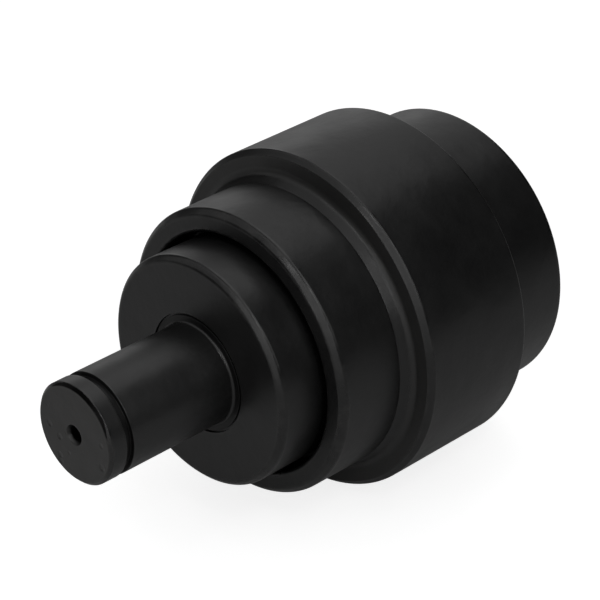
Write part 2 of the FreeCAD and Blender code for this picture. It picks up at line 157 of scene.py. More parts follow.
class RollerShellSizes(bpy.types.PropertyGroup):
    tread_radius: length("Tread radius", 0.0715, "The two treads that carry the track's rails")
    tread_chamfer: length("Tread chamfer", 0.0028, "Outer edges of the treads")
    flange_width: length("Flange width", 0.0665, "Flange between the treads")
    flange_chamfer: length("Flange chamfer", 0.0026, "Edges of the flange")
    chamfer_rounding: length("Chamfer rounding", 0.0009, "Corners of the flange's chamfers")
    relief_depth: length("Relief depth", 0.0004, "Sloped step where the turned tread ends")
    relief_width: length("Relief width", 0.0057, "From that step to the flange")
    relief_slope: angle("Relief slope", 33.0, "How the relief climbs to the flange")
    relief_fillet: length("Relief fillet", 0.004, "Hollow between the relief and the flange")
    recess_radius: length("Recess radius", 0.0602, "Front recess that takes the collar")
    recess_edge: length("Recess edge", 0.0018, "Rounding of the recess's mouth")
    tread_end: length("Tread end", 0.0006, "Rounding where the turned tread ends")
    recess_room: length("Room behind the collar", 0.002, "From the collar's rear to the recess floor")
    cavity_radius: length("Seal cavity radius", 0.04727, "Seal cavity at its floor")
    mouth_radius: length("Seal mouth radius", 0.05247, "Seal cavity at its mouth")
    bush_bore: length("Bush bore", 0.038, "Bore that holds the bushes")
    bush_seat: length("Bush flange seat", 0.04402, "Counterbore for a bush's flange")
    bush_flange: length("Bush flange", 0.005, "Depth of that counterbore")
    pocket_radius: length("Oil pocket radius", 0.046, "Oil pocket between the bushes")
    pocket_inset: length("Oil pocket inset", 0.003, "From a bush's end to the oil pocket")
    spigot_bore: length("Spigot bore", 0.04702, "Bore for the cover's spigot")
    spigot_depth: length("Spigot bore depth", 0.026, "From the shell's rear to the spigot bore's end")
    cover_recess: length("Cover recess radius", 0.063, "Rear recess that takes the cover")
    cover_depth: length("Cover recess depth", 0.016, "Depth of that recess")
    cover_edge: length("Cover recess chamfer", 0.0015, "Chamfer at the recess's mouth")
    cover_fillet: length("Cover seat fillet", 0.0004, "Fillet round the cover's seat")
    hole_depth: length("Bolt hole depth", 0.014, "Tapped holes for the cover's bolts")
    hole_room: length("Bolt hole room", 0.00005, "Between a bolt and its tapped hole")
    inner_fillet: length("Inner fillet", 0.0015, "Fillets in the recess and the seal cavity")
    pocket_fillet: length("Oil pocket fillet", 0.003, "Rounded corners of the oil pocket")


class RollerCoverSizes(bpy.types.PropertyGroup):
    rim_thickness: length("Rim thickness", 0.008, "Bolted rim of the cover")
    spigot_radius: length("Spigot radius", 0.047, "Spigot in the shell's bore")
    spigot_inner: length("Spigot inner radius", 0.0425, "Inside of the spigot")
    spigot_length: length("Spigot length", 0.0078, "Length of the spigot")
    land_depth: length("Land depth", 0.002, "From the seat to the thrust washer's land")
    ring_inset: length("Ring inset", 0.0018, "From the seat to the rubber ring's groove")
    ring_width: length("Ring groove width", 0.00358, "Width of that groove")
    ring_depth: length("Ring groove depth", 0.002, "Depth of that groove")
    pocket_radius: length("Pocket radius", 0.0315, "Room for the thrust plate's bolts")
    wall: length("Boss wall", 0.007, "Wall of the raised middle")
    boss_radius: length("Boss radius", 0.0385, "Raised middle at its top")
    boss_slope: length("Boss slope", 0.002, "How much wider the boss is at its foot")
    fillet: length("Cover fillets", 0.002, "Cast corners of the cover")
    plug_hole: length("Plug hole", 0.00665, "Tapped hole for the fill plug")
    plug_radius: length("Plug radius", 0.0066, "Fill plug")
    plug_key: length("Plug key", 0.006, "Across the flats of the plug's socket")
    plug_key_depth: length("Plug key depth", 0.004, "Depth of the socket")
    bolt_circle: length("Bolt circle radius", 0.0545, "Where the cover bolts stand")
    bolt_count: IntProperty(name="Bolts", description="Cover bolts", default=3, min=2)
    bolt_radius: length("Bolt radius", 0.004, "Shank of a cover bolt")
    bolt_flats: length("Bolt flats", 0.013, "Across the flats of a bolt's head")
    bolt_head: length("Bolt head", 0.0053, "Height of a bolt's head")
    bolt_crown: amount("Bolt crown", 0.95, "Width of the head's flat top as a share of the flats")
    bolt_slope: angle("Bolt chamfer", 30.0, "Slope of the chamfer round that top")
    bolt_room: length("Bolt room", 0.00045, "Between a bolt and its hole in the cover")
    washer_radius: length("Washer radius", 0.0071, "Spring washer, outside")
    washer_bore: length("Washer bore", 0.00425, "Spring washer, inside")
    washer_split: angle("Washer split", 14.0, "Gap in the spring washer")


class RollerPaintLook(bpy.types.PropertyGroup):
    paint: colour("Paint", (0.004, 0.004, 0.0041), "Satin black paint")
    paint_light: colour("Paint, lighter", (0.0056, 0.0056, 0.0056), "Where the paint looks thinner")
    roughness: amount("Roughness", 0.38, "Gloss of the paint")
    edge_rounding: length("Edge rounding", 0.0022, "How far the paint softens an edge")
    skin_height: length("Skin height", 0.00003, "Height of the paint's orange peel")
    tool_height: length("Tool mark height", 0.00002, "Height of the marks on the bare pieces")
    corner_shine: amount("Corner shine", 0.2, "How much glossier the paint is at corners")
    face_dullness: amount("End face dullness", 0.08, "How much duller the thin paint is")
    # Painted light: how much more matt the paler paint on the flange's faces is
    dust_dullness: amount("Dust dullness", 0.1, "How much duller the dusty paint is")
    # Painted shade: roughness of the paint where it is darkened in the gaps, grooves and recesses
    grime_roughness: amount("Grime roughness", 0.8, "Roughness of the grime")
    # Painted dark reflection: how strongly the crescent at the top of the end face's rim is darkened
    rim_darkness: amount("Rim darkness", 0.9, "Grime on the crescent at the end face's rim")
    wear_reach: length("Wear reach", 0.0009, "How far wear runs in from an edge")
    rubbed_paint: colour("Rubbed paint", (0.018, 0.0175, 0.017), "Paint that is rubbed at the edges")
    thin_paint: colour("Thin paint", (0.036, 0.035, 0.034), "Thin paint on the shaft's end face")
    # Painted light: the paler paint on the flange's faces, standing in for light falling on them
    dusty_paint: colour("Dusty paint", (0.013, 0.0127, 0.0124), "Matt paint on the flange's forged faces")
    bare_edge: colour("Bare edge", (0.08, 0.079, 0.077), "Steel that shows at the edges")
    # Painted shade: the dull black painted into the gaps, grooves and recesses, and as a dark reflection on
    # the end face's rim
    grime: colour("Grime", (0.002, 0.0019, 0.0018), "Dull black dirt in the gaps and grooves")
    steel: colour("Steel", (0.50, 0.50, 0.51), "Turned steel inside")
    seal_metal: colour("Seal metal", (0.36, 0.35, 0.34), "Cast seal rings")
    bronze: colour("Bronze", (0.56, 0.33, 0.13), "Bearing bronze")
    rubber: colour("Rubber", (0.012, 0.012, 0.013), "Nitrile rubber")
    phosphate: colour("Phosphated steel", (0.055, 0.055, 0.06), "Inner fasteners")


class RollerStudioLook(bpy.types.PropertyGroup):
    view_azimuth: angle("View azimuth", 45.477, "Camera's turn around the roller")
    view_elevation: angle("View elevation", 30.498, "Camera's height")
    view_distance: length("View distance", 1.21636, "From the camera to the point it looks at")
    view_centre: FloatVectorProperty(name="View centre", description="Point that the camera looks at",
                                     default=(-0.00328, 0.09999, 0.00872),
                                     subtype="TRANSLATION", unit="LENGTH")
    lens: amount("Lens", 153.5, "Focal length in millimetres")
    softbox_distance: length("Softbox distance", 2.0, "From the roller to each softbox")
    floor_colour: colour("Floor", (0.55, 0.55, 0.55), "Plain pale floor")
    floor_size: length("Floor size", 16.0, "Side of the floor")
    floor_white: amount("Floor whiteness", 0.8, "White added to the floor for the camera")
    floor_near: length("Floor near", 0.4, "Up to here the floor's whiteness leaves room for the shadow")
    floor_far: length("Floor far", 1.6, "From here on the floor is plain white to its edge")
    floor_mirrored: amount("Floor in reflections", 0.01, "White added to the floor for reflections")
    room_mirrored: amount("Room in reflections", 0.01, "Brightness of the room in reflections")
    room_light: amount("Room light", 0.01, "Brightness of the room for everything else")


def looks():
    return bpy.context.scene.roller_paint


def reach(node):
    """Return a CAD node's lowest and highest y and its radius."""
    low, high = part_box(node)
    return low[1], high[1], max(high[0], -low[0])


def corner(radius, y, cut=0.0, rounding=None):
    """One corner of an outline: a chamfer's size, and a rounding that defaults to the paint's."""
    if rounding is None:
        rounding = looks().edge_rounding
    return Vector((radius, y, 0)), cut, rounding


def sharp(radius, y):
    """A corner without a chamfer or a rounding."""
    return corner(radius, y, rounding=0.0)


def groove(surface, floor, low, high, rounding=0.0):
    """The four corners of a square groove between two Y places, from its surface's radius to its floor's."""
    return [corner(surface, low, rounding=rounding), corner(floor, low, rounding=rounding),
            corner(floor, high, rounding=rounding), corner(surface, high, rounding=rounding)]


def cut_chamfers(corners):
    """Put the two ends of its chamfer in the place of each corner that has one."""
    points = []
    for index, (place, cut, rounding) in enumerate(corners):
        if not cut:
            points.append((place, rounding))
            continue
        for neighbour in (corners[index - 1], corners[(index + 1) % len(corners)]):
            points.append((place + (neighbour[0] - place).normalized() * cut, rounding))
    return points


def round_corners(bm, marks, verts, points):
    """Round each corner of the wire with an arc; mark outward corners as worn, where the paint
    rubs off, and inward ones as pooled, where it runs together."""
    worn, pooled = marks
    for index, (place, rounding) in enumerate(points):
        before = points[index - 1][0] - place
        after = points[(index + 1) % len(points)][0] - place
        if not rounding or place.x < ON_AXIS:
            continue
        verts[index][worn if after.cross(before).z > 0 else pooled] = 1.0
        half = before.angle(after) / 2
        tangent = rounding / math.tan(half)
        tangent = min(tangent, before.length * LARGEST_SHARE, after.length * LARGEST_SHARE)
        turn = math.pi - 2 * half
        bmesh.ops.bevel(bm, geom=[verts[index]], offset=tangent, offset_type="OFFSET", affect="VERTICES",
                        segments=max(3, round(turn / ARC_STEP)), profile=0.5, material=-1)


def hold_marks_at_corners(bm, marks, reach_in):
    """Add a point near both ends of each long line, so that the marks and shading stay at the corners."""
    for edge in [edge for edge in bm.edges if edge.calc_length() > LONG_EDGE * reach_in]:
        start = edge.verts[0]
        edge, near = bmesh.utils.edge_split(edge, start, reach_in / edge.calc_length())
        rest = next(other for other in near.link_edges if start not in other.verts)
        rest, far = bmesh.utils.edge_split(rest, near, 1.0 - reach_in / rest.calc_length())
        for mark in marks:
            near[mark] = far[mark] = 0.0


def lathe(name, corners, steps=224):
    """Spin an outline of corners about the roller's axis."""
    bm = bmesh.new()
    for mark in MARKS:
        bm.verts.layers.float.new(mark)
    marks = [bm.verts.layers.float[mark] for mark in MARKS]
    points = cut_chamfers(corners)
    verts = [bm.verts.new(place) for place, rounding in points]
    for index, vert in enumerate(verts):
        following = verts[(index + 1) % len(verts)]
        if max(vert.co.x, following.co.x) > ON_AXIS:
            bm.edges.new((vert, following))
    round_corners(bm, marks, verts, points)
    hold_marks_at_corners(bm, marks, looks().wear_reach)
    bmesh.ops.spin(bm, geom=bm.verts[:] + bm.edges[:], cent=(0, 0, 0), axis=AXIS, dvec=(0, 0, 0),
                   angle=math.tau, steps=steps, use_merge=True)
    return finish_piece(name, bm)


def add_object(name, data):
    thing = bpy.data.objects.new(name, data)
    bpy.context.scene.collection.objects.link(thing)
    return thing


def aim(thing, azimuth, elevation, distance):
    """Place a lamp or the camera round the view's centre and turn it there.

    The azimuth starts at the shaft's free end and goes to +X."""
    level = math.cos(elevation)
    away = Vector((math.sin(azimuth) * level, -math.cos(azimuth) * level, math.sin(elevation)))
    thing.location = Vector(bpy.context.scene.roller_studio.view_centre) + away * distance
    thing.rotation_euler = away.to_track_quat("Z", "Y").to_euler()


def to_mesh(name, bm):
    mesh = bpy.data.meshes.new(name)
    bm.to_mesh(mesh)
    bm.free()
    return mesh


def finish_piece(name, bm, crease=35.0):
    """Turn a bmesh into a smooth-shaded piece with outward faces, sharp above an angle in degrees."""
    bmesh.ops.remove_doubles(bm, verts=bm.verts, dist=1e-7)
    bmesh.ops.recalc_face_normals(bm, faces=bm.faces)
    mesh = to_mesh(name, bm)
    mesh.shade_smooth()
    mesh.set_sharp_from_angle(angle=math.radians(crease))
    return add_object(name, mesh)


def soften(piece, width, segments, degrees):
    """Bevel the edges of a fastener that turn by more than an angle."""
    bevel = piece.modifiers.new("Paint rounding", "BEVEL")
    bevel.width = width
    bevel.segments = segments
    bevel.limit_method = "ANGLE"
    bevel.angle_limit = math.radians(degrees)


def drill(piece, bm):
    """Cut the closed shapes in a bmesh out of a piece."""
    bmesh.ops.recalc_face_normals(bm, faces=bm.faces)
    cutter = add_object("drill", to_mesh("drill", bm))
    cut = piece.modifiers.new("Holes", "BOOLEAN")
    cut.object = cutter
    cut.operation = "DIFFERENCE"
    cut.solver = "EXACT"
    bpy.context.view_layer.update()
    evaluated = piece.evaluated_get(bpy.context.evaluated_depsgraph_get())
    drilled = bpy.data.meshes.new_from_object(evaluated)
    piece.modifiers.clear()
    piece.data = drilled
    bpy.data.objects.remove(cutter)


def along_y(y, around=0.0, out=0.0):
    """Place a shape made on the Z axis along Y instead, at a radius and an angle from the +X side."""
    turn = Matrix.Rotation(around, 4, AXIS)
    return turn @ Matrix.Translation((out, y, 0)) @ Matrix.Rotation(-math.pi / 2, 4, "X")


def add_cylinder(bm, radius, low, high, around=0.0, out=0.0, segments=48):
    bmesh.ops.create_cone(bm, cap_ends=True, segments=segments, radius1=radius, radius2=radius,
                          depth=high - low, matrix=along_y((low + high) / 2, around, out))


def bolt_angles(count):
    """The CAD bolts start at the top and go round evenly."""
    return [math.radians(-90.0) - index * math.tau / count for index in range(count)]


def extrude(bm, edges):
    """Extrude edges in place; return the new verts and the new edges."""
    made = bmesh.ops.extrude_edge_only(bm, edges=edges)["geom"]
    kinds = (bmesh.types.BMVert, bmesh.types.BMEdge)
    return [[item for item in made if isinstance(item, kind)] for kind in kinds]


def add_bolt(bm, sizes, low, seat, around):
    """Hex bolt with a chamfered crown, on the cover's bolt circle."""
    top = seat + sizes.bolt_head
    crown = sizes.bolt_flats / 2 * sizes.bolt_crown
    ring = bmesh.ops.create_circle(bm, cap_ends=True, segments=72, radius=crown,
                                   matrix=Matrix.Translation((0, 0, top)))["verts"]
    rim_verts, rim_edges = extrude(bm, list({edge for vert in ring for edge in vert.link_edges}))
    for vert in rim_verts:
        side = math.atan2(vert.co.y, vert.co.x) % (math.pi / 3) - math.pi / 6
        flat_radius = sizes.bolt_flats / 2 / math.cos(side)
        vert.co.xy = vert.co.xy.normalized() * flat_radius
        vert.co.z = top - (flat_radius - crown) * math.tan(sizes.bolt_slope)
    foot_verts, foot_edges = extrude(bm, rim_edges)
    for vert in foot_verts:
        vert.co.z = seat
    bmesh.ops.contextual_create(bm, geom=foot_edges)
    bmesh.ops.transform(bm, matrix=along_y(0, around, sizes.bolt_circle),
                        verts=ring + rim_verts + foot_verts)
    add_cylinder(bm, sizes.bolt_radius, low, seat, around, sizes.bolt_circle)


def ride_and_replace(piece, body, node, material):
    """Flatten the shading of flat faces, paint the piece and put it in its CAD node's place."""
    piece.modifiers.new("Flat faces", "WEIGHTED_NORMAL").keep_sharp = True
    piece.data.materials.clear()
    piece.data.materials.append(material)
    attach(piece, body)
    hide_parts(node)


class NodeBuilder:
    """Short-hand for placing and linking nodes in a tree."""

    def __init__(self, tree):
        self.tree = tree
        self.place = None

    def add(self, kind, **values):
        node = self.tree.nodes.new(kind)
        for name, value in values.items():
            setattr(node, name, value)
        return node

    def link(self, source, target):
        self.tree.links.new(source, target)

    def feed(self, socket, value):
        """Give a socket a number, a colour or another node's output."""
        if hasattr(value, "is_output"):
            self.link(value, socket)
        elif isinstance(value, (int, float)):
            socket.default_value = value
        else:
            socket.default_value = (*value, 1.0)

    def math(self, operation, *values):
        node = self.add("ShaderNodeMath", operation=operation)
        for socket, value in zip(node.inputs, values):
            self.feed(socket, value)
        return node.outputs[0]

    def times(self, first, *others):
        for other in others:
            first = self.math("MULTIPLY", first, other)
        return first

    def ramp(self, value, low, high, low_out=0.0, high_out=1.0):
        """Ease from one value to another while the input goes from low to high."""
        node = self.add("ShaderNodeMapRange", interpolation_type="SMOOTHSTEP")
        numbers = {"Value": value, "From Min": low, "From Max": high, "To Min": low_out, "To Max": high_out}
        for name, number in numbers.items():
            self.feed(node.inputs[name], number)
        return node.outputs["Result"]

    def object_place(self):
        if self.place is None:
            self.place = self.add("ShaderNodeTexCoord").outputs["Object"]
        return self.place

    def axes(self):
        parts = self.add("ShaderNodeSeparateXYZ")
        self.link(self.object_place(), parts.inputs[0])
        return parts.outputs

    def radius(self, axes):
        """Distance from the roller's axis."""
        squares = [self.math("POWER", axes[name], 2) for name in ("X", "Z")]
        return self.math("SQRT", self.math("ADD", *squares))

    def noise(self, scale, detail=3.0, roughness=0.5, along=None):
        """Noise over the surface, or over one value when there is one to go along."""
        node = self.add("ShaderNodeTexNoise", noise_dimensions="3D" if along is None else "1D")
        for name, number in (("Scale", scale), ("Detail", detail), ("Roughness", roughness)):
            self.feed(node.inputs[name], number)
        if along is None:
            self.link(self.object_place(), node.inputs["Vector"])
        else:
            self.link(along, node.inputs["W"])
        return node.outputs["Fac"]

    def jitter(self, scale, size):
        """Noise about zero, for ragged borders."""
        return self.times(self.math("SUBTRACT", self.noise(scale, detail=3.0, roughness=0.6), 0.5), size)

    def seen_by(self, camera, reflections):
        """Value that differs for the camera and for reflected or transmitted rays, and is 0 for the rest."""
        ray = self.add("ShaderNodeLightPath").outputs
        mirrored = self.math("MAXIMUM", ray["Is Glossy Ray"], ray["Is Transmission Ray"])
        return self.math("ADD", self.times(ray["Is Camera Ray"], camera), self.times(mirrored, reflections))

    def mix_colour(self, factor, first, second):
        node = self.add("ShaderNodeMix", data_type="RGBA")
        for name, value in (("Factor", factor), ("A", first), ("B", second)):
            self.feed(node.inputs[name], value)
        return node.outputs["Result"]

    def group(self, make, **values):
        """Add the node group that a function makes; it is made once and has the function's name."""
        made = bpy.data.node_groups.get(make.__name__) or make(make.__name__)
        node = self.add("ShaderNodeGroup", node_tree=made)
        for name, value in values.items():
            node.inputs[name.replace("_", " ")].default_value = value
        return node

    def mask(self, band):
        """Where the surface lies in a band."""
        return self.group(grime_in_gaps, From=band.low, To=band.high, Radius=band.radius,
                          Softness=band.softness, Amount=band.share).outputs["Mask"]

    def bump(self, shader, height, distance):
        node = self.add("ShaderNodeBump")
        self.feed(node.inputs["Distance"], distance)
        self.link(height, node.inputs["Height"])
        self.link(node.outputs[0], shader.inputs["Normal"])


def new_group(name, inputs, outputs):
    """Make a node group; return it, its builder and its sockets. None stands for a colour's default."""
    group = bpy.data.node_groups.new(name, "ShaderNodeTree")
    for socket_name, default in inputs.items():
        kind = "NodeSocketColor" if default is None else "NodeSocketFloat"
        socket = group.interface.new_socket(name=socket_name, in_out="INPUT", socket_type=kind)
        if default is not None:
            socket.default_value = default
    for socket_name in outputs:
        kind = "NodeSocketColor" if socket_name == "Color" else "NodeSocketFloat"
        group.interface.new_socket(name=socket_name, in_out="OUTPUT", socket_type=kind)
    build = NodeBuilder(group)
    return group, build, build.add("NodeGroupInput").outputs, build.add("NodeGroupOutput").inputs


def turned_marks(name):
    """Fine rings left by a lathe tool, on faces and on cylinders about the Y axis."""
    group, build, source, sink = new_group(
        name, {"Pitch per metre": 2500.0, "Waviness": 0.3}, ("Height", "Band"))
    axes = build.axes()
    path = build.math("ADD", build.radius(axes), axes["Y"])
    along = build.times(path, source["Pitch per metre"])
    wave = build.times(build.noise(90.0, detail=1.0), source["Waviness"])
    build.link(build.math("ADD", build.noise(1.0, detail=2.0, along=along), wave), sink["Height"])
    build.link(build.noise(0.05, detail=2.0, along=along), sink["Band"])
    return group


def sprayed_coat(name):
    """Paint skin over a forged surface: shallow waves, orange peel and cloudy gloss."""
    group, build, source, sink = new_group(
        name, {"Dark": None, "Light": None, "Roughness": 0.4, "Cloudiness": 0.22, "Waves": 7.0},
        ("Color", "Roughness", "Height"))
    clouds = build.noise(38.0, detail=4.0, roughness=0.6)
    cover = build.ramp(clouds, 0.3, 0.7)
    build.link(build.mix_colour(cover, source["Dark"], source["Light"]), sink["Color"])
    gloss = build.times(build.math("SUBTRACT", clouds, 0.5), source["Cloudiness"])
    build.link(build.math("ADD", source["Roughness"], gloss), sink["Roughness"])
    broad = build.times(build.noise(30.0, detail=1.0), 3.0)
    narrow = build.noise(85.0, detail=2.0, roughness=0.55)
    waves = build.times(build.math("ADD", broad, narrow), source["Waves"])
    peel = build.noise(520.0, detail=2.0)
    grain = build.times(build.noise(2100.0, detail=2.0, roughness=0.6), 0.35)
    build.link(build.math("ADD", build.math("ADD", peel, grain), waves), sink["Height"])
    return group


def rubbed_edges(name):
    """Patchy wear on the outward edges and shine on all, from the worn and pooled attributes."""
    group, build, source, sink = new_group(name, {"Amount": 0.6}, ("Mask", "Bare metal", "Shine"))
    worn, pooled = (build.add("ShaderNodeAttribute", attribute_name=mark).outputs["Fac"] for mark in MARKS)
    patches = build.ramp(build.noise(150.0, detail=3.0, roughness=0.65), 0.4, 0.7)
    mask = build.times(worn, patches, source["Amount"])
    flecks = build.ramp(build.noise(420.0, detail=3.0, roughness=0.6), 0.6, 0.75)
    streaks = build.ramp(build.noise(45.0, detail=2.0), 0.3, 0.7, 0.5, 1.0)
    build.link(mask, sink["Mask"])
    build.link(build.times(build.ramp(mask, 0.25, 0.5), flecks), sink["Bare metal"])
    build.link(build.times(build.math("MAXIMUM", worn, pooled), 0.6, streaks), sink["Shine"])
    return group


def grime_in_gaps(name):
    """Mask with ragged borders between two Y places, inside a radius, for bands of painted light and painted
    shade.
    """
    group, build, source, sink = new_group(
        name, {"From": 0.0, "To": 0.0, "Radius": 0.0, "Softness": 0.0005, "Amount": 1.0}, ("Mask",))
    axes = build.axes()
    within = build.math("LESS_THAN", build.radius(axes), source["Radius"])
    y = build.math("ADD", axes["Y"], build.jitter(400.0, source["Softness"]))
    start = build.ramp(y, source["From"], build.math("ADD", source["From"], source["Softness"]))
    stop = build.ramp(y, build.math("SUBTRACT", source["To"], source["Softness"]), source["To"], 1.0, 0.0)
    build.link(build.times(start, stop, within, source["Amount"]), sink["Mask"])
    return group


def end_face(name):
    """Thin paint and forging pits on the face in front of a Y place, and a painted dark reflection: a dark
    crescent on the top of its rim.
    """
    group, build, source, sink = new_group(
        name, {"Face": 0.0, "Rim radius": 0.0, "Amount": 0.7}, ("Mask", "Pits", "Dark rim"))
    pits_per_metre, pitted_share, pit_depth = 165.0, 0.35, 20.0
    crescent, crescent_softness = 0.0011, 0.0003
    axes = build.axes()
    radius = build.radius(axes)
    beyond = build.math("SUBTRACT", source["Face"], axes["Y"])
    on_face = build.ramp(beyond, 0.0, 0.0006)
    patches = build.ramp(build.noise(70.0, detail=4.0, roughness=0.6), 0.3, 0.7, 0.55, 1.0)
    build.link(build.times(on_face, patches, source["Amount"]), sink["Mask"])

    cells = build.add("ShaderNodeTexVoronoi", voronoi_dimensions="3D")
    build.feed(cells.inputs["Scale"], pits_per_metre)
    build.link(build.object_place(), cells.inputs["Vector"])
    pick = build.add("ShaderNodeSeparateColor")
    build.link(cells.outputs["Color"], pick.inputs[0])
    chosen = build.math("LESS_THAN", pick.outputs[0], pitted_share)
    bowl = build.ramp(cells.outputs["Distance"], 0.1, 0.36, 1.0, 0.0)
    build.link(build.times(bowl, chosen, on_face, pit_depth), sink["Pits"])

    # The crescent is painted dark reflection, reaching furthest back at the top of the rim and gone lower
    # down
    leaning = build.math("ADD", axes["Z"], build.times(axes["X"], 0.3))
    upward = build.ramp(build.math("DIVIDE", leaning, radius), 0.55, 0.95)
    behind = build.math("ADD", build.times(beyond, -1.0), build.jitter(500.0, 0.0008))
    reach_back = build.times(upward, crescent)
    rim = build.ramp(behind, build.math("SUBTRACT", reach_back, crescent_softness), reach_back, 1.0, 0.0)
    outer = build.ramp(radius, source["Rim radius"],
                       build.math("ADD", source["Rim radius"], crescent_softness))
    build.link(build.times(rim, outer, build.ramp(upward, 0.0, 0.2)), sink["Dark rim"])
    return group


def new_material(name):
    """Make an empty material; return it with its builder and its Principled shader."""
    material = bpy.data.materials.new(name)
    material.use_nodes = True
    material.node_tree.nodes.clear()
    build = NodeBuilder(material.node_tree)
    shader = build.add("ShaderNodeBsdfPrincipled")
    output = build.add("ShaderNodeOutputMaterial")
    build.link(shader.outputs[0], output.inputs["Surface"])
    return material, build, shader


def satin_paint(name, lightness=1.0, marks=0.25, roughness_shift=0.0, rubbed_face=None, dusty=(), gaps=()):
    """Satin black paint over a turned surface.

    Lightness scales the paint's tone; the lighter copies it gives some pieces are partly painted light.
    Marks is how much of the turning shows through. Rubbed_face is a Y place and the radius of a flat face:
    in front of that place the paint is thin, matt and pitted, with a painted dark reflection on the top of
    its rim. The bands of matt, paler paint are painted light, and the gap bands are painted shade, where the
    paint is darkened and dulled."""
    if name in bpy.data.materials:
        return bpy.data.materials[name]
    look = looks()
    material, build, shader = new_material(name)
    coat = build.group(sprayed_coat, Roughness=look.roughness + roughness_shift)
    for socket, tone in (("Dark", look.paint), ("Light", look.paint_light)):
        build.feed(coat.inputs[socket], [channel * lightness for channel in tone])
    wear = build.group(rubbed_edges).outputs
    turning = build.times(build.group(turned_marks).outputs["Height"], marks)
    height = build.math("ADD", coat.outputs["Height"], turning)
    rough = build.math("SUBTRACT", coat.outputs["Roughness"], build.times(wear["Shine"], look.corner_shine))
    layers = [(wear["Mask"], look.rubbed_paint)]
    dark_layers = [(wear["Bare metal"], look.bare_edge)]
    if rubbed_face:
        face = build.group(end_face, Face=rubbed_face[0], Rim_radius=rubbed_face[1]).outputs
        layers.append((face["Mask"], look.thin_paint))
        # Painted dark reflection on the top of the end face's rim, in the painted shade's colour
        dark_layers.append((build.times(face["Dark rim"], look.rim_darkness), look.grime))
        rough = build.math("ADD", rough, build.times(face["Mask"], look.face_dullness))
        height = build.math("SUBTRACT", height, face["Pits"])
    # Painted light: each of these bands makes the paint paler and more matt, standing in for light that
    # falls on it
    for band in dusty:
        lit_band = build.mask(band)
        layers.append((lit_band, look.dusty_paint))
        rough = build.math("ADD", rough, build.times(lit_band, look.dust_dullness))
    # Painted shade: each gap band darkens and dulls the paint where shade falls
    for band in gaps:
        grime = build.mask(band)
        dark_layers.append((grime, look.grime))
        rough = build.math("MAXIMUM", rough, build.times(grime, look.grime_roughness))
    tint = coat.outputs["Color"]
    for mask, tone in layers + dark_layers:
        tint = build.mix_colour(mask, tint, tone)
    # Painted shade, and the painted dark reflection on the end face's rim, count as metal too, because metal
    # this dark mirrors next to nothing
    metal = dark_layers[0][0]
    for mask, tone in dark_layers[1:]:
        metal = build.math("MAXIMUM", metal, mask)
    build.link(tint, shader.inputs["Base Color"])
    build.link(rough, shader.inputs["Roughness"])
    build.link(metal, shader.inputs["Metallic"])
    build.bump(shader, height, look.skin_height)
    return material


def turned_metal(name, tint, roughness, pitch=2500.0, darker=0.75):
    """Bare metal from the lathe, for the pieces inside."""
    if name in bpy.data.materials:
        return bpy.data.materials[name]
    material, build, shader = new_material(name)
    build.feed(shader.inputs["Metallic"], 1.0)
    marks = build.group(turned_marks, Pitch_per_metre=pitch).outputs
    stain = build.ramp(build.noise(60.0, detail=4.0, roughness=0.6), 0.3, 0.75)
    dark = [channel * darker for channel in tint]
    build.link(build.mix_colour(stain, tint, dark), shader.inputs["Base Color"])
    build.link(build.math("ADD", build.times(marks["Band"], 0.15), roughness), shader.inputs["Roughness"])
    build.bump(shader, marks["Height"], looks().tool_height)
    return material


def matt_rubber(name, tint):
    if name in bpy.data.materials:
        return bpy.data.materials[name]
    material, build, shader = new_material(name)
    bloom = build.ramp(build.noise(120.0, detail=4.0, roughness=0.6), 0.45, 0.8)
    pale = [channel * 2.2 for channel in tint]
    build.link(build.mix_colour(bloom, tint, pale), shader.inputs["Base Color"])
    build.link(build.ramp(bloom, 0.0, 1.0, 0.55, 0.72), shader.inputs["Roughness"])
    build.bump(shader, build.noise(1500.0, detail=2.0), looks().tool_height)
    return material


